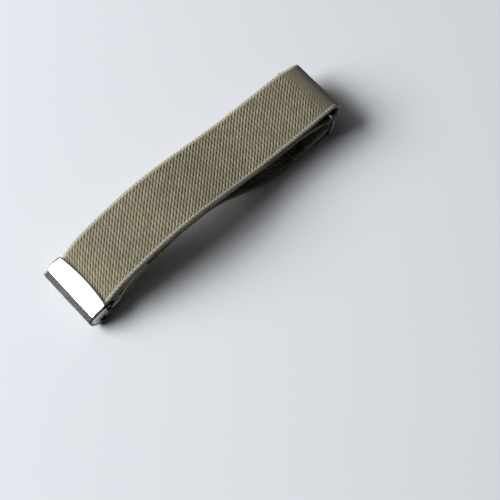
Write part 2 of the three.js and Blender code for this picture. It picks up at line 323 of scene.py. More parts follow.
# The relaxed webbing's width as a share of its nominal width, x: share
OUTER_WIDE = {4.0: 1.0, 12.0: 1.05, 70.0: 1.062, 116.0: 1.062, 128.0: 1.015}
INNER_WIDE = {18.0: 1.0, 40.0: 1.04, 70.0: 1.062, 116.0: 1.062, 128.0: 1.015}
LOWER_WIDE = {4.0: 1.0, 40.0: 1.04, 106.0: 1.04}
# Slopes by which the strap's rows stand askew at the buckle and in the fold at the ring, x: slope
ASKEW = {14.0: 0.0314, 44.0: 0.0, 92.0: 0.0, 126.0: 0.08}
LOWER_ASKEW = {14.0: 0.0314, 44.0: 0.0}
print("webbing", WIDTH, "by", THICKNESS, "mm; an eye's middle line has a radius of", EYE, "mm")

# %% [markdown]
# A curve through all of these points has to pass each of them without swinging out between close
# ones. Blender's own curve types round such points off, so the curve is worked out here: the
# centripetal kind, which takes the distance between points into account.

# %% Curves through points
SPAN_STEPS = 40
ARC_STEP = 24


def span(points, i, share):
    """Points between points i and i + 1, at shares from 0 to 1."""
    here = points[i]
    there = points[i + 1]
    before = points[i - 1] if i > 0 else 2 * points[0] - points[1]
    after = points[i + 2] if i + 2 < len(points) else 2 * points[-1] - points[-2]
    stops = (before, here, there, after)
    a, b, c = [np.linalg.norm(far - near) ** 0.5 for near, far in zip(stops, stops[1:])]
    leave = ((here - before) / a - (there - before) / (a + b) + (there - here) / b) * b
    reach = ((there - here) / b - (after - here) / (b + c) + (after - there) / c) * b
    t = np.asarray(share, float)[:, None]
    return (here + leave * t + (-3 * here + 3 * there - 2 * leave - reach) * t ** 2
            + (2 * here - 2 * there + leave + reach) * t ** 3)


def curve_through(points):
    """The points of the curve, SPAN_STEPS to each span between two given points."""
    points = np.array(points, float)
    shares = np.arange(SPAN_STEPS) / SPAN_STEPS
    rows = [span(points, i, shares) for i in range(len(points) - 1)]
    return np.vstack([*rows, points[-1:]])


def arc(centre, radius, start, end):
    """Points of an arc from one angle to another, at most ARC_STEP degrees apart."""
    count = math.ceil(abs(end - start) / ARC_STEP)
    angles = np.radians(np.linspace(start, end, count + 1))
    return [(centre[0] + radius * math.cos(a), centre[1] + radius * math.sin(a)) for a in angles]


def buckle_to_world(u, v):
    """Points of the tilted buckle's side view, as x and z."""
    cos, sin = math.cos(TILT), math.sin(TILT)
    return (BUCKLE[0] + u * cos - v * sin, BUCKLE[1] + u * sin + v * cos)


def below(line, x, depth):
    """The point that lies depth under a line at x, square to the line."""
    i = int(np.searchsorted(line[:, 0], x))
    i = min(max(i, 1), len(line) - 1)
    share = (x - line[i - 1, 0]) / (line[i, 0] - line[i - 1, 0])
    point = line[i - 1] + share * (line[i] - line[i - 1])
    run = (line[i] - line[i - 1]) / np.linalg.norm(line[i] - line[i - 1])
    return (point[0] + run[1] * depth, point[1] - run[0] * depth)


print("the buckle's back bar is at", [round(v, 2) for v in buckle_to_world(*LEVER_BAR)])

# %% The middle line of the whole ribbon
face = curve_through(list(OUTER_TOP.items()))
outer = [below(face, x, HALF) for x in OUTER_TOP]
outer_line = curve_through(outer)
inner = [below(outer_line, x, PITCH) for x in INNER_X]
under = -SHEET - CLEARANCE - HALF
turn_start = buckle_to_world(UNDER_COVER["turn"], under)
turn_radius = (turn_start[1] - HALF) / (1 + math.cos(TILT))
turn_centre = (turn_start[0] + turn_radius * math.sin(TILT),
               turn_start[1] - turn_radius * math.cos(TILT))
ring_eye = (RING_LOWER_X, HALF + EYE)
legs = [
    ("back_tail", list(BACK_TAIL.items())),
    ("lever_eye", arc(buckle_to_world(*LEVER_BAR), EYE, -65, -245)),
    ("inner", inner[::-1]),
    ("drop", list(INNER_DROP.items())[::-1]),
    ("fold", arc(FOLD["centre"], FOLD["radius"], -106, 90)),
    ("outer", outer[::-1]),
    ("cover", [buckle_to_world(UNDER_COVER["back"], under + BACK_RISE),
               buckle_to_world(UNDER_COVER["middle"], under)]),
    ("turn", arc(turn_centre, turn_radius, 90 + math.degrees(TILT), 270)),
    ("lower", list(LOWER.items())),
    ("ring_eye", arc(ring_eye, EYE, -90, 130)),
    ("ring_tail", list(RING_TAIL.items())),
]
route = np.array([point for _, points in legs for point in points])
middle_line = curve_through(route)
# How far along the line each of its points lies
gone = np.concatenate([[0], np.cumsum(np.linalg.norm(np.diff(middle_line, axis=0), axis=1))])
leg_start = {}
leg_end = {}
passed = 0
for name, points in legs:
    leg_start[name] = gone[passed * SPAN_STEPS]
    passed += len(points)
    leg_end[name] = gone[(passed - 1) * SPAN_STEPS]
RIBBON = gone[-1]
print("ribbon of", round(RIBBON, 1), "mm")
print("legs start at", {name: round(start, 1) for name, start in leg_start.items()})

# %% [markdown]
# ## The ribbon as a mesh
# The webbing is swept along the middle line: at each station stands a thin section with rounded
# edges. A curve with a bevel would do the same, but the diagonal ribs and the beaded edges stand
# out of the surface, and here each point can be lifted by its own place along and across the
# ribbon. The rows of points lean like the ribs, so that a few of them already draw each rib
# cleanly. The two places are also kept as the ribbon's map, for the finish. A second map marks the
# faces that look inwards: those of the loop, of the tail at the ring and of the two cut ends.

# %% Rows of points along the ribbon
ROW_STEP = 0.27
RIB_PITCH = 1.08
RIB_ANGLE = math.radians(40.1)
RIB_HEIGHT = 0.07
BEAD_PITCH = 1.6
BEAD_HEIGHT = 0.12
BEAD_LEAN = 0.4
BODY_EDGE = 11.2
EDGE_FROM = BODY_EDGE - 0.2
EDGE_TO = BODY_EDGE + 0.3
TOP_COLUMNS = 26
BOTTOM_COLUMNS = 22
EDGE_COLUMNS = 6
LEAN_ROOM = 26.0
FOLD_ENTRY = 2.0
SMOOTH_ZONE = 8.0
RIB_S = math.sin(RIB_ANGLE) / RIB_PITCH
RIB_W = math.cos(RIB_ANGLE) / RIB_PITCH


def smooth_step(value, low, high):
    """0 up to low, 1 from high on, and a soft step between."""
    share = np.clip((value - low) / (high - low), 0, 1)
    return share * share * (3 - 2 * share)


def read_at(table, x):
    """The table's value at x, with soft steps between its places."""
    places = list(table)
    total = np.full(len(x), table[places[0]])
    for low, high in zip(places, places[1:]):
        total += (table[high] - table[low]) * smooth_step(x, low, high)
    return total


along = np.linspace(0, RIBBON, int(RIBBON / ROW_STEP) + 1)
# The rows stand square at the cut ends and lean fully from LEAN_ROOM on
lean = smooth_step(along, 0, LEAN_ROOM) * smooth_step(RIBBON - along, 0, LEAN_ROOM)
# No part of the lower layer dips below the floor
middle_line[:, 1] = np.maximum(middle_line[:, 1], HALF)
heading = np.unwrap(np.arctan2(np.gradient(middle_line[:, 1]), np.gradient(middle_line[:, 0])))
line_x = middle_line[:, 0]


def by_layer(inner, outer, lower):
    """Each layer's own table, read along the whole line."""
    upper = np.where(gone < leg_start["outer"], read_at(inner, line_x), read_at(outer, line_x))
    return np.where(gone > leg_start["turn"], read_at(lower, line_x), upper)


drift = by_layer(INNER_ASIDE, OUTER_ASIDE, LOWER_ASIDE)
wide = by_layer(INNER_WIDE, OUTER_WIDE, LOWER_WIDE)
askew = by_layer(ASKEW, ASKEW, LOWER_ASKEW)
print(len(along), "rows,", round(RIB_S, 3), "ribs a millimetre along the ribbon")

# %% The section's points: how far out, how far across, and the place across for the weave
flat = WIDTH / 2 - HALF
section = []
for side in (1, -1):
    for i in range(EDGE_COLUMNS + 1):
        angle = math.pi / 2 - math.pi * i / EDGE_COLUMNS
        wrap = HALF * min(math.pi / 2 - angle, math.pi / 2 + angle)
        out = side * HALF * math.sin(angle)
        section.append((out, side * (flat + HALF * math.cos(angle)), side * (flat + wrap)))
    columns = BOTTOM_COLUMNS if side == 1 else TOP_COLUMNS
    for i in range(1, columns):
        place = side * flat * (1 - 2 * i / columns)
        section.append((-side * HALF, place, place))
section = np.array(section)
print(len(section), "points in the section")


# %% Relief of the ribs and of the beaded edges
def ribs(s, w):
    """Height of the slanting ribs from 0 to 1, s along the ribbon and w across it."""
    return 0.5 + 0.5 * np.cos(2 * math.pi * (s * RIB_S + w * RIB_W))


def beads(s, w):
    """Height of the beads along the two edges from 0 to 1."""
    return np.abs(np.sin(math.pi * (s + BEAD_LEAN * np.abs(w)) / BEAD_PITCH))


w_grid = np.broadcast_to(section[:, 2], (len(along), len(section)))
s_grid = along[:, None] - w_grid * (RIB_W / RIB_S) * lean[:, None]
x_grid = np.interp(s_grid, gone, middle_line[:, 0])
z_grid = np.interp(s_grid, gone, middle_line[:, 1])
turn_grid = np.interp(s_grid, gone, heading)
edge_share = smooth_step(np.abs(w_grid), EDGE_FROM, EDGE_TO)
fold_start, fold_end = leg_start["fold"], leg_end["fold"]
in_folds = smooth_step(s_grid, fold_start, fold_start + FOLD_ENTRY)
in_folds = in_folds * (1 - smooth_step(s_grid, fold_end, fold_end + SMOOTH_ZONE))
rib_share = (1 - edge_share) * lean[:, None] * (1 - in_folds)
lift = rib_share * RIB_HEIGHT * (ribs(s_grid, w_grid) - 0.5)
lift += edge_share * BEAD_HEIGHT * (beads(s_grid, w_grid) - 0.6) * (1 - 0.5 * in_folds)
out_grid = section[None, :, 0] * (1 + lift / HALF)
over_edge = np.maximum(np.abs(section[:, 1]) - flat, 0) * np.sign(section[:, 1])
side_grid = section[None, :, 1] * np.interp(s_grid, gone, wide)
side_grid = side_grid + over_edge[None, :] * lift / HALF
turned = np.interp(s_grid, gone, askew) * side_grid
ribbon_points = np.stack([
    x_grid - np.sin(turn_grid) * out_grid + turned,
    np.interp(s_grid, gone, drift) + side_grid,
    z_grid + np.cos(turn_grid) * out_grid,
], axis=2)
print("relief:", RIB_HEIGHT, "mm of ribs and", BEAD_HEIGHT, "mm of beads")

# %% [markdown]
# The line's frame starts at the buckle, and the holder's own frame starts in the middle of its
# footprint. The solid ring gives the shift between the two: its lowest bar is at a known x.

# %% From the buckle's frame to the holder's frame
ring_low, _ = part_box("wire_ring")
cover_low, cover_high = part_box("buckle_cover")
SHIFT = np.array([
    ring_low.x * 1000 - (RING_LOWER_X - WIRE_RADIUS),
    (cover_low.y + cover_high.y) * 500,
    0,
])
print("shift", SHIFT.round(3))


def settle(points):
    """Points in millimetres at the buckle, as metres in the holder's frame."""
    return (np.asarray(points, float) + SHIFT) * MM


def mesh_object(name, points, faces):
    """A new object of these points, in metres, and faces."""
    mesh = bpy.data.meshes.new(name)
    mesh.from_pydata([tuple(p) for p in points], [], [tuple(f) for f in faces])
    mesh.polygons.foreach_set("use_smooth", [True] * len(mesh.polygons))
    return add_object(name, mesh)


# %% The webbing strap
rows, columns = len(along), len(section)
index = np.arange(rows * columns).reshape(rows, columns)
here = index[:-1]
there = index[1:]
quads = np.stack([here, there, np.roll(there, -1, axis=1), np.roll(here, -1, axis=1)], axis=2)
faces = quads.reshape(-1, 4).tolist()
faces += [index[0].tolist(), index[-1][::-1].tolist()]
webbing_strap = mesh_object("webbing_strap", settle(ribbon_points.reshape(-1, 3)), faces)
ribbon_map = webbing_strap.data.uv_layers.new(name="ribbon")
corner_points = np.zeros(len(webbing_strap.data.loops), np.int32)
webbing_strap.data.loops.foreach_get("vertex_index", corner_points)
places = np.stack([s_grid.ravel(), w_grid.ravel()], axis=1)
ribbon_map.data.foreach_set("uv", places[corner_points].astype(np.float32).ravel())
# The second map marks the faces on which the finish paints shade
face_map = webbing_strap.data.uv_layers.new(name="face")
middles = (section[:, 0] + np.roll(section[:, 0], -1)) / 2
in_tail = along[:-1] > leg_start["ring_tail"]
inner_quads = np.repeat(((middles > 0.1)[None, :] | in_tail[:, None]).ravel(), 4)
inner_corners = np.concatenate([inner_quads, np.ones(2 * columns)])
inner_places = np.stack([inner_corners, inner_corners], axis=1)
face_map.data.foreach_set("uv", inner_places.astype(np.float32).ravel())
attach(webbing_strap, "root")
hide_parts("elastic_strap")
print("webbing strap:", len(webbing_strap.data.polygons), "faces")

# %% [markdown]
# ## The webbing's finish
# The weave shows slanting ribs, each a column of short yarn floats that lean a little and lap over
# one another like the strands of a rope. The gaps between the columns and between the floats are
# painted dark, as painted shade. An image of a weave would blur and repeat, so the floats are
# computed: the map's two places give the column and the place along it, and a lens shape round
# each float's middle is both its height and its lightness, a painted highlight on the middle that
# fades into the painted shade of the gaps. Each float also gets a tone of its own.

# %% Yarn floats
FLOAT_PITCH = 2.37
FLOAT_REACH = 0.72
FLOAT_WIDTH = 0.46
FLOAT_LEAN = -0.2
FLOAT_STAGGER = -0.46
RIB_LIGHT = colour(166, 158, 137)
RIB_SHADE = colour(135, 128, 107)
# Painted shade: the colour of the gaps between the floats and the columns
GAP_PAINTED_SHADE = colour(70, 64, 46)

webbing = Finish("twill_webbing", Roughness=0.92, Specular_IOR_Level=0.2, Sheen_Weight=0.15,
                 Sheen_Roughness=0.5)
s_place, w_place, _ = webbing.axes(webbing.node("UVMap", {"uv_map": "ribbon"}))
rib_number = s_place * RIB_S + w_place * RIB_W + 0.5
column = rib_number.floor()
beside = rib_number - column - 0.5
along_rib = (w_place * math.sin(RIB_ANGLE) - s_place * math.cos(RIB_ANGLE)) / FLOAT_PITCH
place = along_rib + column * FLOAT_STAGGER
number = place.floor()
along_float = place - number - 0.5
sideways = (beside + along_float * FLOAT_LEAN) / FLOAT_WIDTH
endways = along_float / FLOAT_REACH
yarn = (1 - sideways * sideways - endways * endways).root()
key = webbing.node("CombineXYZ", None, {0: column, 1: number})
tone = webbing.node("TexWhiteNoise", {"noise_dimensions": "3D"}, {"Vector": key})
print("floats", FLOAT_PITCH, "mm apart in ribs", RIB_PITCH, "mm apart")

# %% [markdown]
# Along both edges the weft turns round a cord, which makes a paler band of small beads, with a
# painted highlight on each bead's crest and painted shade between the beads. In the fold at the
# ring the stretched webbing is smoother, and its colour is painted darker there as painted shade.
# The webbing is also made a little darker towards the buckle and beside the fold. All of these are
# masks over the same map, and the second map darkens the inner faces as painted shade, so one
# material serves the whole ribbon.

# %% Masks on the webbing
SELVEDGE_FROM = BODY_EDGE - 0.15
SELVEDGE_TO = BODY_EDGE + 0.2
# Distances from the buckle, and from the fold's end, at which the darker stretches start and end
DARKER_NEAR_BUCKLE = {"starts": 42, "full": 14}
BESIDE_FOLD = {"full": 6, "fades": 20, "gone": 36, "share": 0.75}

edge_place = w_place.size()
selvedge = edge_place.step(SELVEDGE_FROM, SELVEDGE_TO)
bead = ((s_place + edge_place * BEAD_LEAN) * (math.pi / BEAD_PITCH)).sine().size()
in_fold = s_place.step(fold_start, fold_start + FOLD_ENTRY)
in_fold = in_fold * (1 - s_place.step(fold_end, fold_end + SMOOTH_ZONE))
inner_face = webbing.axes(webbing.node("UVMap", {"uv_map": "face"}))[0]
buckle_end = leg_start["cover"]
beside_fold = s_place.step(fold_end, fold_end + BESIDE_FOLD["full"])
fading = s_place.step(fold_end + BESIDE_FOLD["fades"], fold_end + BESIDE_FOLD["gone"])
darkened = s_place.step(buckle_end - DARKER_NEAR_BUCKLE["starts"], buckle_end - DARKER_NEAR_BUCKLE["full"])
darkened = darkened + beside_fold * (1 - fading) * BESIDE_FOLD["share"]
fibre = webbing.noise(webbing.place(), 3.0, 3.0)
patches = webbing.noise(webbing.place(), 0.09, 2.0)
print("fold from", round(fold_start, 1), "to", round(fold_end, 1), "mm along the ribbon")

# %% Colour and relief of the webbing
FOLD_SHADE = colour(100, 95, 82)
CORD_SHADE = colour(144, 139, 122)
CORD_LIGHT = colour(194, 189, 174)
COOL_PATCH = (0.93, 0.95, 0.88, 1)
WARM_PATCH = (1.04, 1.0, 0.98, 1)
DARKENING_TINT = (0.82, 0.82, 0.80, 1)
INNER_PAINTED_SHADE = (0.48, 0.48, 0.45, 1)
WEAVE_DEPTH = 0.11

rib_colour = webbing.blend(tone * 0.7 + fibre * 0.3, RIB_SHADE, RIB_LIGHT)
# The floats' middles are painted light and the gaps between them dark: painted highlight and shade
woven = webbing.blend((yarn * 1.25 - 0.1).step(0.0, 1.0), GAP_PAINTED_SHADE, rib_colour)
# Painted shade: the fold at the ring turns away from the light, so its colour is darkened
fold_shaded = webbing.blend(in_fold * 0.92, woven, FOLD_SHADE)
# Each bead's crest is painted lighter and its dips darker: painted highlight and shade
beaded = webbing.blend(bead * 0.7 + fibre * 0.3, CORD_SHADE, CORD_LIGHT)
joined = webbing.blend(selvedge, fold_shaded, beaded)
tint = webbing.blend(patches.step(0.3, 0.7), COOL_PATCH, WARM_PATCH)
tint = webbing.blend(darkened, tint, DARKENING_TINT)
# Painted shade on the inner faces, the tail at the ring and the two cut ends
tint = webbing.blend(inner_face, tint, INNER_PAINTED_SHADE)
tinted = webbing.node("Mix", {"data_type": "RGBA", "blend_type": "MULTIPLY"},
                      {0: 1.0, 6: joined, 7: tint}, 2)
webbing.set("Base Color", tinted)
plies = (along_rib * 40 + beside * 30).sine() * 0.06
body_height = (yarn + plies) * (1 - in_fold * 0.9)
webbing.bump(body_height * (1 - selvedge) + bead * selvedge * 0.5 + fibre * 0.15, WEAVE_DEPTH * MM)
webbing_strap.data.materials.append(webbing.material)
print("webbing finish:", len(webbing.nodes), "nodes")

# %% [markdown]
# ## Sewn tails
# Each end of the strap is sewn down beside its eye with two rows of thread across the webbing.
# Thread that is only painted on looks flat from the side, so each visible stitch is a short bead of
# thread, laid along a row and pulled a little into the webbing at its two ends.

# %% Stitches
STITCH = {"length": 2.1, "gap": 0.5, "radius": 0.17, "proud": 0.05, "taper": 0.92, "sunk": 0.75}
STITCH_FROM_END = (1.8, 4.0)
STITCH_MARGIN = 3.0
STITCH_RINGS = 8
STITCH_SIDES = 6
THREAD_SHADE = colour(108, 100, 80)
THREAD_LIGHT = colour(160, 151, 128)
THREAD_DEPTH = 0.05


def stitch_points(middle, out):
    """Rings of points of one stitch along y, thin and sunk at its two ends."""
    points = []
    radius = STITCH["radius"]
    run = np.cross(out, [0, 1, 0])
    for i in range(STITCH_RINGS):
        t = -1 + 2 * i / (STITCH_RINGS - 1)
        swell = math.sqrt(1 - t * t * STITCH["taper"])
        along_y = np.array([0, t * STITCH["length"] / 2, 0])
        centre = middle + out * radius * (swell - STITCH["sunk"]) + along_y
        for k in range(STITCH_SIDES):
            turn = 2 * math.pi * k / STITCH_SIDES
            points.append(centre + radius * swell * (out * math.cos(turn) + run * math.sin(turn)))
    return points


def tube_faces(first, rings, sides):
    """Faces of a tube of rings whose points start at number first, with both ends closed."""
    made = []
    for i in range(rings - 1):
        for k in range(sides):
            a = first + i * sides + k
            b = first + i * sides + (k + 1) % sides
            made.append((a, b, b + sides, a + sides))
    made.append(tuple(first + k for k in range(sides))[::-1])
    made.append(tuple(first + (rings - 1) * sides + k for k in range(sides)))
    return made


thread_points, thread_faces = [], []
stitch_step = STITCH["length"] + STITCH["gap"]
stitch_count = int((WIDTH - STITCH_MARGIN) / stitch_step)
for s in (*STITCH_FROM_END, *(RIBBON - from_end for from_end in STITCH_FROM_END)):
    turn = np.interp(s, gone, heading)
    normal = np.array([-math.sin(turn), 0, math.cos(turn)])
    base = np.array([np.interp(s, gone, middle_line[:, 0]), np.interp(s, gone, drift),
                     np.interp(s, gone, middle_line[:, 1])])
    for out in (normal, -normal):
        for i in range(stitch_count):
            y = (i - (stitch_count - 1) / 2) * stitch_step
            spot = base + out * (HALF + STITCH["proud"]) + np.array([0, y, 0])
            first = len(thread_points)
            thread_points += stitch_points(spot, out)
            thread_faces += tube_faces(first, STITCH_RINGS, STITCH_SIDES)
tail_stitches = mesh_object("tail_stitches", settle(thread_points), thread_faces)
thread = Finish("sewing_thread", Roughness=0.75, Specular_IOR_Level=0.3)
twist = thread.axes(thread.place())
lay = (twist[1] * 9 + twist[0] * 4).sine() * 0.5 + 0.5
thread.set("Base Color", thread.blend(lay, THREAD_SHADE, THREAD_LIGHT))
thread.bump(lay, THREAD_DEPTH * MM)
tail_stitches.data.materials.append(thread.material)
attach(tail_stitches, "root")
print("stitches:", len(tail_stitches.data.polygons), "faces")

# %% [markdown]
# ## Buckle cover
# The cover is pressed from one blank of sheet steel: a slightly domed face, a flat facet along its
# front that ends in a rounded lip, and two leaf-shaped ears folded down at the sides. Boxes with
# rounded edges would break its long highlights, so it is drawn as the blank was bent. Each row runs
# from one ear's rim over the fold, across the face and down the other ear, and the rows follow the
# side view from back to front.

# %% Side view of the cover's outer skin
COVER_WIDTH = 27.2
COVER_HALF = 4.9
COVER_BACK = 5.3
COVER_SHEET = 0.5
HEM_RADIUS = 0.22
HEM_ARC = 1.1
CROWN = 0.55
FACET_START = -1.6
FACET_WIDTH = 2.85
FACET_TURN = 21.5
LIP_RADIUS = 0.5
LIP_END = 196
FOLD_RADIUS = 0.85
HEM_DEGREES = range(-20, 81, 20)
DOME_ROWS = 16
LIP_ROWS = 15
# Rows this close to the facet's edge on either side keep it crisp
BEFORE_EDGE = (0.4, 0.2, 0.08)
AFTER_EDGE = (0.12, 0.3)


def crown_height(u):
    """The height of the domed face at u."""
    return CROWN * (1 - (u / COVER_HALF) ** 2)


def side_view():
    """Points of the skin from the back hem to the lip's rim, each with its outward normal."""
    view = []
    hem = (COVER_BACK - HEM_RADIUS, crown_height(COVER_BACK - HEM_RADIUS) - HEM_RADIUS)
    for degrees in HEM_DEGREES:
        a = math.radians(degrees)
        normal = (math.cos(a), math.sin(a))
        view.append((hem[0] + HEM_RADIUS * normal[0], hem[1] + HEM_RADIUS * normal[1], *normal))
    domed = np.linspace(hem[0] - 0.1, FACET_START + BEFORE_EDGE[0], DOME_ROWS)
    for u in (*domed, *(FACET_START + gap for gap in BEFORE_EDGE[1:])):
        slope = -2 * CROWN * u / COVER_HALF ** 2
        size = math.hypot(slope, 1)
        view.append((u, crown_height(u), -slope / size, 1 / size))
    facet = math.radians(90 + FACET_TURN)
    normal = (math.cos(facet), math.sin(facet))
    edge_v = crown_height(FACET_START)
    for far in (*AFTER_EDGE, FACET_WIDTH / 2, FACET_WIDTH - 0.2, FACET_WIDTH):
        view.append((FACET_START - far * normal[1], edge_v + far * normal[0], *normal))
    start_u, start_v, normal_u, normal_v = view[-1]
    centre = (start_u - LIP_RADIUS * normal_u, start_v - LIP_RADIUS * normal_v)
    start = math.degrees(math.atan2(normal_v, normal_u))
    for degrees in np.linspace(start, LIP_END, LIP_ROWS + 1)[1:]:
        a = math.radians(degrees)
        normal = (math.cos(a), math.sin(a))
        view.append((centre[0] + LIP_RADIUS * normal[0], centre[1] + LIP_RADIUS * normal[1], *normal))
    return np.array(view)


skin = side_view()
print("cover side view:", len(skin), "points")

# %% The blank, row by row
SHARP_ANGLE = math.radians(35)
EAR = {"depth": 7.2, "reach": 4.75, "back": 0.9, "front": 2.0, "fullness": 0.9, "tuck": 0.25}
EAR_ROLL = {"inwards": 0.4, "reach": 1.0}
EAR_SHARES = np.linspace(0, 1, 16) ** 1.3
BEND_ANGLES = np.radians(np.linspace(75, 0, 6))
FACE_POINTS = 16


def fold_line():
    """The u and v where each row bends down to its ear, with no steps back at the facet or lip."""
    fold = skin[:, :2] - FOLD_RADIUS * skin[:, 2:]
    fold[:, 0] = np.minimum.accumulate(fold[:, 0])
    front = skin[:, 0] < FACET_START
    fold[front, 1] = np.minimum.accumulate(fold[front, 1])
    return fold


def ear_rim(share):
    """The u and v of the ear's lower rim, from the back hem at 0 to the lip at 1."""
    a = math.pi * share
    least = EAR["back"] + (EAR["front"] - EAR["back"]) * share
    return (EAR["reach"] * math.cos(a) - EAR["tuck"] * share ** 6,
            -max(EAR["depth"] * math.sin(a) ** EAR["fullness"], least))


def cover_rows():
    """The blank's points, row by row from the back hem to the lip, each from ear to ear."""
    half = COVER_WIDTH / 2
    level = half - FOLD_RADIUS
    walked = np.concatenate([[0], np.cumsum(np.linalg.norm(np.diff(skin[:, :2], axis=0), axis=1))])
    rows = []
    for (u, v), (fold_u, fold_v), share in zip(skin[:, :2], fold_line(), walked / walked[-1]):
        rim_u, rim_v = ear_rim(share)
        depth = math.hypot(fold_u - rim_u, fold_v - rim_v)
        side = []
        for t in EAR_SHARES:
            roll = max(1 - t * depth / EAR_ROLL["reach"], 0) ** 2 * EAR_ROLL["inwards"]
            side.append((rim_u + (fold_u - rim_u) * t, half - roll, rim_v + (fold_v - rim_v) * t))
        for b in BEND_ANGLES:
            side.append((fold_u + (u - fold_u) * math.cos(b), level + FOLD_RADIUS * math.sin(b),
                         fold_v + (v - fold_v) * math.cos(b)))
        face = [(u, y, v) for y in np.linspace(level, -level, FACE_POINTS)[1:-1]]
        other = [(p[0], -p[1], p[2]) for p in side[::-1]]
        rows.append(side + face + other)
    rows = np.array(rows)
    behind = smooth_step(rows[..., 0], -1, COVER_BACK)
    rows[..., 0] -= HEM_ARC * behind * (rows[..., 1] / half) ** 2
    return rows


def tilted(points):
    """Points in the cover's own u, y and v, as points at the buckle."""
    points = np.asarray(points, float)
    x, z = buckle_to_world(points[..., 0], points[..., 2])
    ahead = x - BUCKLE[0]
    across = points[..., 1]
    return np.stack([BUCKLE[0] + ahead * math.cos(YAW) - across * math.sin(YAW),
                     ahead * math.sin(YAW) + across * math.cos(YAW), z], axis=-1)


def grid_faces(rows, columns):
    """The faces between the points of a grid."""
    index = np.arange(rows * columns).reshape(rows, columns)
    corners = [index[:-1, :-1], index[:-1, 1:], index[1:, 1:], index[1:, :-1]]
    return np.stack(corners, axis=2).reshape(-1, 4)


def bake(piece):
    """Works the piece's modifiers into its mesh and marks its sharp edges."""
    shape = piece.evaluated_get(bpy.context.evaluated_depsgraph_get())
    mesh = bpy.data.meshes.new_from_object(shape)
    piece.modifiers.clear()
    old = piece.data
    piece.data = mesh
    bpy.data.meshes.remove(old)
    mesh.polygons.foreach_set("use_smooth", [True] * len(mesh.polygons))
    mesh.set_sharp_from_angle(angle=SHARP_ANGLE)


def turn_outwards(piece, merge=0.0):
    """Turns every face outwards, once points closer than merge metres are one."""
    shape = bmesh.new()
    shape.from_mesh(piece.data)
    if merge:
        bmesh.ops.remove_doubles(shape, verts=shape.verts, dist=merge)
    bmesh.ops.recalc_face_normals(shape, faces=shape.faces)
    shape.to_mesh(piece.data)
    shape.free()


blank = cover_rows()
cover_plate = mesh_object("cover_plate", settle(tilted(blank.reshape(-1, 3))),
                          grid_faces(*blank.shape[:2]).tolist())
gauge = cover_plate.modifiers.new("gauge", "SOLIDIFY")
gauge.thickness = COVER_SHEET * MM
gauge.offset = -1
print("cover blank:", len(cover_plate.data.polygons), "faces")

# %% Pivot holes in the ears
HOLE = 1.35
HOLE_SIDES = 32
RIM_ROUND = 0.12
RIM_ANGLE = math.radians(50)

hole_points, hole_faces = [], []
for side in (-1, 1):
    first = len(hole_points)
    for y in (side * (COVER_WIDTH / 2 - 2), side * (COVER_WIDTH / 2 + 1)):
        for k in range(HOLE_SIDES):
            a = 2 * math.pi * k / HOLE_SIDES
            hole_points.append((PIVOT[0] + HOLE * math.cos(a), y, PIVOT[1] + HOLE * math.sin(a)))
    hole_faces += tube_faces(first, 2, HOLE_SIDES)
drill = mesh_object("drill", settle(tilted(hole_points)), hole_faces)
turn_outwards(drill)
cut = cover_plate.modifiers.new("holes", "BOOLEAN")
cut.operation = "DIFFERENCE"
cut.solver = "EXACT"
cut.object = drill
rim = cover_plate.modifiers.new("rim", "BEVEL")
rim.width = RIM_ROUND * MM
rim.segments = 2
rim.limit_method = "ANGLE"
rim.angle_limit = RIM_ANGLE
bake(cover_plate)
bpy.data.objects.remove(drill)
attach(cover_plate, "root")
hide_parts("buckle_cover")
print("cover plate:", len(cover_plate.data.polygons), "faces")

# %% [markdown]
# ## Lever
# Under the cover sits the pressed lever: a plate with a long slot, whose far edge is the bar that
# carries the strap's sewn end, a round barrel on the pivot and a row of small teeth. A flat curve
# with a hole and a rounded edge makes such a pressed plate in one step, edges included.

# %% The plate's outline
LEVER_SLOPE = math.atan2(LEVER_BAR[1] - PIVOT[1], LEVER_BAR[0] - PIVOT[0])
LEVER_LENGTH = math.hypot(LEVER_BAR[0] - PIVOT[0], LEVER_BAR[1] - PIVOT[1])
PLATE = {"thickness": 1.0, "edge": 0.22, "body": 12.5, "arms": 13.7, "shoulder": 4.7,
         "slot_from": 5.95, "slot_to": 8.2, "slot_half": 12.9, "slot_corner": 0.5}
CORNER_STEPS = 5


def rounded(corners):
    """A closed outline of corners, each an x, a y and the radius that rounds it."""
    outline = []
    count = len(corners)
    for i, (x, y, radius) in enumerate(corners):
        corner = np.array((x, y), float)
        to_last = np.array(corners[i - 1][:2], float) - corner
        to_next = np.array(corners[(i + 1) % count][:2], float) - corner
        start = corner + to_last / np.linalg.norm(to_last) * radius
        end = corner + to_next / np.linalg.norm(to_next) * radius
        for k in range(CORNER_STEPS + 1):
            t = k / CORNER_STEPS
            outline.append((1 - t) ** 2 * start + 2 * t * (1 - t) * corner + t ** 2 * end)
    return outline


def flat_curve(name, outlines, thickness, edge):
    """A plate in the x, y plane, made of an outline and its holes, with rounded edges."""
    curve = bpy.data.curves.new(name, "CURVE")
    curve.dimensions = "2D"
    curve.fill_mode = "BOTH"
    curve.extrude = (thickness / 2 - edge) * MM
    curve.bevel_depth = edge * MM
    curve.bevel_resolution = 2
    curve.offset = -edge * MM
    for outline in outlines:
        spline = curve.splines.new("POLY")
        spline.points.add(len(outline) - 1)
        for point, place in zip(spline.points, outline):
            point.co = (place[0] * MM, place[1] * MM, 0, 1)
        spline.use_cyclic_u = True
    made = add_object(name, curve)
    bpy.context.view_layer.update()
    shape = made.evaluated_get(bpy.context.evaluated_depsgraph_get())
    mesh = bpy.data.meshes.new_from_object(shape)
    bpy.data.objects.remove(made)
    return mesh


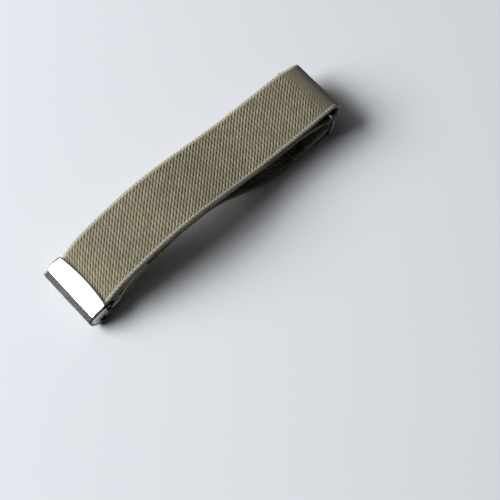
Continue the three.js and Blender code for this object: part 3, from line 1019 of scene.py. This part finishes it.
def lever_to_world(points):
    """Points in the lever's own frame, in metres: along the plate, across it and up from it."""
    points = np.asarray(points, float) / MM
    cos, sin = math.cos(LEVER_SLOPE), math.sin(LEVER_SLOPE)
    u = PIVOT[0] + points[:, 0] * cos - points[:, 2] * sin
    v = PIVOT[1] + points[:, 0] * sin + points[:, 2] * cos
    return settle(tilted(np.stack([u, points[:, 1], v], axis=1)))


def mirrored(corners):
    """The corners on the near side, then the same ones on the far side in reverse."""
    return [(x, -y, radius) for x, y, radius in corners] + corners[::-1]


body, arms, shoulder = PLATE["body"], PLATE["arms"], PLATE["shoulder"]
plate_end = LEVER_LENGTH + WIRE_RADIUS
outline = rounded(mirrored([(0, body, 0.2), (shoulder, body, 0.3), (shoulder, arms, 0.5),
                            (plate_end, arms, 1.0)]))
slot_from, slot_to, slot_half = PLATE["slot_from"], PLATE["slot_to"], PLATE["slot_half"]
slot = rounded([(x, y, PLATE["slot_corner"]) for x, y in (
    (slot_from, -slot_half), (slot_from, slot_half), (slot_to, slot_half), (slot_to, -slot_half))])
plate_mesh = flat_curve("plate", [outline, slot], PLATE["thickness"], PLATE["edge"])
print("lever plate:", len(plate_mesh.polygons), "faces")

# %% Barrel, pivot pins and teeth
# Place across the lever and radius, from the middle outwards
PIN_PROFILE = [(12.4, 0.95), (12.5, 0.85), (12.5, 0.75), (12.9, 0.75), (13.1, 0.5), (13.1, 0.02)]
PIN_SIDES = 24
TOOTH = {"count": 12, "share": 0.6, "reach": 1.9, "top": 0.6, "bottom": -0.5, "tip": 0.35,
         "tip_depth": 0.25}
TOOTH_FACES = [(0, 3, 2, 1), (4, 5, 6, 7), (0, 1, 5, 4), (1, 2, 6, 5), (2, 3, 7, 6), (3, 0, 4, 7)]
MERGE = 0.000001

lever_points = list(lever_to_world([vertex.co for vertex in plate_mesh.vertices]))
lever_faces = [tuple(f.vertices) for f in plate_mesh.polygons]
bpy.data.meshes.remove(plate_mesh)

first = len(lever_points)
pin = []
for y, radius in [(-y, radius) for y, radius in PIN_PROFILE[::-1]] + PIN_PROFILE:
    for k in range(PIN_SIDES):
        a = 2 * math.pi * k / PIN_SIDES
        pin.append((radius * math.cos(a), y, radius * math.sin(a)))
lever_points += list(lever_to_world(np.array(pin) * MM))
lever_faces += tube_faces(first, 2 * len(PIN_PROFILE), PIN_SIDES)

pitch = 2 * PLATE["body"] / TOOTH["count"]
wide = TOOTH["share"] * pitch / 2
thin = wide * TOOTH["tip"]
reach, top, bottom = TOOTH["reach"], TOOTH["top"], TOOTH["bottom"]
tip_bottom = top - TOOTH["tip_depth"]
for i in range(TOOTH["count"]):
    middle = -PLATE["body"] + (i + 0.5) * pitch
    corners = [(0, -wide, bottom), (0, wide, bottom), (0, wide, top), (0, -wide, top),
               (-reach, -thin, tip_bottom), (-reach, thin, tip_bottom), (-reach, thin, top),
               (-reach, -thin, top)]
    first = len(lever_points)
    tooth = [(PIVOT[0] + x, middle + y, PIVOT[1] + z) for x, y, z in corners]
    lever_points += list(settle(tilted(tooth)))
    lever_faces += [tuple(first + k for k in face) for face in TOOTH_FACES]
lever_plate = mesh_object("lever_plate", lever_points, lever_faces)
turn_outwards(lever_plate, MERGE)
bake(lever_plate)
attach(lever_plate, "root")
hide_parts("buckle_lever")
print("lever:", len(lever_plate.data.polygons), "faces")

# %% [markdown]
# ## Wire ring
# The ring is one length of round wire bent to a rectangle, with its ends butted in the middle of the
# lower bar. It is a tube swept round a rounded rectangle; the butt is a fine groove.

# %% Wire ring
RING = {"opening": 28.6, "shift": -1.2, "corner": 1.6, "sides": 24}
BUTT = {"reach": 0.12, "depth": 0.10}

ring_bottom = np.array([RING_LOWER_X, RING["shift"], HALF + EYE])
ring_top = np.array([RING_UPPER[0], RING["shift"], RING_UPPER[1]])
rise = ring_top - ring_bottom
up = rise / np.linalg.norm(rise)
across_y = np.array([0.0, 1.0, 0.0])
ring_side = np.cross(across_y, up)
corner_up = np.linalg.norm(rise) / 2 - RING["corner"]
corner_across = RING["opening"] / 2 + WIRE_RADIUS - RING["corner"]
stations = []
middle = (ring_bottom + ring_top) / 2
for start, sign_up, sign_across in ((0, 1, 1), (90, 1, -1), (180, -1, -1), (270, -1, 1)):
    for degrees in np.linspace(start, start + 90, 9):
        a = math.radians(degrees)
        normal = across_y * math.cos(a) + up * math.sin(a)
        point = middle + up * sign_up * corner_up
        point = point + across_y * sign_across * corner_across + normal * RING["corner"]
        stations.append((point, normal, WIRE_RADIUS))
    if start == 180:
        for place in (-1, -0.5, 0, 0.5, 1):
            groove = BUTT["depth"] * (1 - abs(place))
            point = ring_bottom + across_y * place * BUTT["reach"]
            stations.append((point, -up, WIRE_RADIUS - groove))
ring_points, ring_faces = [], []
for point, normal, radius in stations:
    for k in range(RING["sides"]):
        a = 2 * math.pi * k / RING["sides"]
        ring_points.append(point + radius * (normal * math.cos(a) + ring_side * math.sin(a)))
sides = RING["sides"]
for i in range(len(stations)):
    j = (i + 1) % len(stations)
    for k in range(sides):
        n = (k + 1) % sides
        ring_faces.append((i * sides + k, j * sides + k, j * sides + n, i * sides + n))
ring_wire = mesh_object("ring_wire", settle(ring_points), ring_faces)
turn_outwards(ring_wire)
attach(ring_wire, "root")
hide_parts("wire_ring")
print("ring:", len(ring_wire.data.polygons), "faces")

# %% [markdown]
# ## Plated metal
# The cover and the ring are bright plating over steel, and the lever is duller. A mirror without
# flaws looks drawn, so the plating gets faint rubbing marks, a little uneven gloss and slight
# waviness from the press. The ring's colour is painted dark, as painted shade for the dark
# surroundings that it mirrors. The cover's ears are duller than its face: rougher, and painted
# greyer as a painted reflection of shade. Their turned rim and a ring round the pivot hole are
# painted dark, as painted shade. Painting them on would need a map of the cover, so both are worked
# out from the place on the surface, which is turned back into the cover's own u and v.

# %% Masks on the cover's ears
EAR_OUTSIDE = COVER_WIDTH / 2 - 0.15
# Shares of the leaf's size between which the painted shade of its rim sets in
EAR_RIM = (0.70, 0.82)
# How far outside the hole its painted shade starts to fade and is gone
HOLE_SHADE = (0.1, 0.8)


def length(first, second):
    """The length of a step with these two parts."""
    return (first * first + second * second).root()


def ear_masks(finish):
    """One mask of the ears' outer sides, and one of an ear's rim and a ring round its hole, for
    painted shade.
    """
    x, y, z = finish.axes(finish.place())
    across = y - SHIFT[1]
    ahead = (x - (SHIFT[0] + BUCKLE[0])) * math.cos(YAW) + across * math.sin(YAW)
    rise = z - BUCKLE[1]
    u = ahead * math.cos(TILT) + rise * math.sin(TILT)
    v = rise * math.cos(TILT) - ahead * math.sin(TILT)
    on_ear = across.size().step(EAR_OUTSIDE - 0.25, EAR_OUTSIDE)
    rim = length(u / EAR["reach"], v / EAR["depth"]).step(*EAR_RIM)
    unshaded = length(u - PIVOT[0], v - PIVOT[1]).step(HOLE + HOLE_SHADE[0], HOLE + HOLE_SHADE[1])
    return on_ear, rim.larger(1 - unshaded)


print("ears: masked from y =", round(EAR_OUTSIDE, 2), "mm outwards")

# %% Plating
# A painted reflection that greys the cover's ears, and the painted shade of their rim and hole
EAR_PAINTED_REFLECTION = (0.43, 0.43, 0.435, 1)
EAR_PAINTED_SHADE = (0.035, 0.035, 0.04, 1)
UNRUBBED = 0.86
PLATING_RELIEF = 0.02


def plating(name, light, roughness, mark_roughness, wave, ear_dullness_and_shade=0.0):
    """Plated metal of one colour, with rubbing marks and waves, and with painted shade on the cover's
    ears.
    """
    finish = Finish(name, Metallic=1.0)
    place = finish.place()
    wide = finish.noise(place, 0.35, 2.0)
    stretched = finish.node("VectorMath", {"operation": "MULTIPLY"}, {0: place, 1: (0.4, 6.0, 0.4)})
    marks = finish.noise(stretched, 1.2, 3.0)
    grime = finish.noise(place, 1.1, 4.0)
    rough = wide * 0.04 + marks * mark_roughness + roughness
    low = (*(c * UNRUBBED for c in light[:3]), 1.0)
    base = finish.blend(grime.step(0.25, 0.6), low, light)
    if ear_dullness_and_shade:
        on_ear, shade = ear_masks(finish)
        dull_and_shaded = on_ear * ear_dullness_and_shade
        rough = rough + dull_and_shaded * 0.3
        # Painted reflection: the ears are greyer; painted shade: their rim and the ring round the
        # hole are dark
        base = finish.blend(shade * dull_and_shaded, finish.blend(dull_and_shaded, base, EAR_PAINTED_REFLECTION), EAR_PAINTED_SHADE)
    finish.set("Roughness", rough)
    finish.set("Base Color", base)
    finish.bump(wide * wave + marks * 0.05, PLATING_RELIEF * MM)
    return finish.material


cover_finish = plating("bright_plating", colour(236, 237, 238), 0.06, 0.05, 0.6, ear_dullness_and_shade=0.8)
# The ring's dark colour is painted shade: it stands for the dark surroundings that the ring mirrors
ring_finish = plating("wire_plating", colour(104, 105, 106), 0.34, 0.10, 0.6)
lever_finish = plating("dull_plating", colour(196, 198, 202), 0.24, 0.14, 0.8)
finishes = {cover_plate: cover_finish, ring_wire: ring_finish, lever_plate: lever_finish}
for piece, material in finishes.items():
    piece.data.materials.append(material)
    print(piece.name, "has", [slot.name for slot in piece.data.materials])
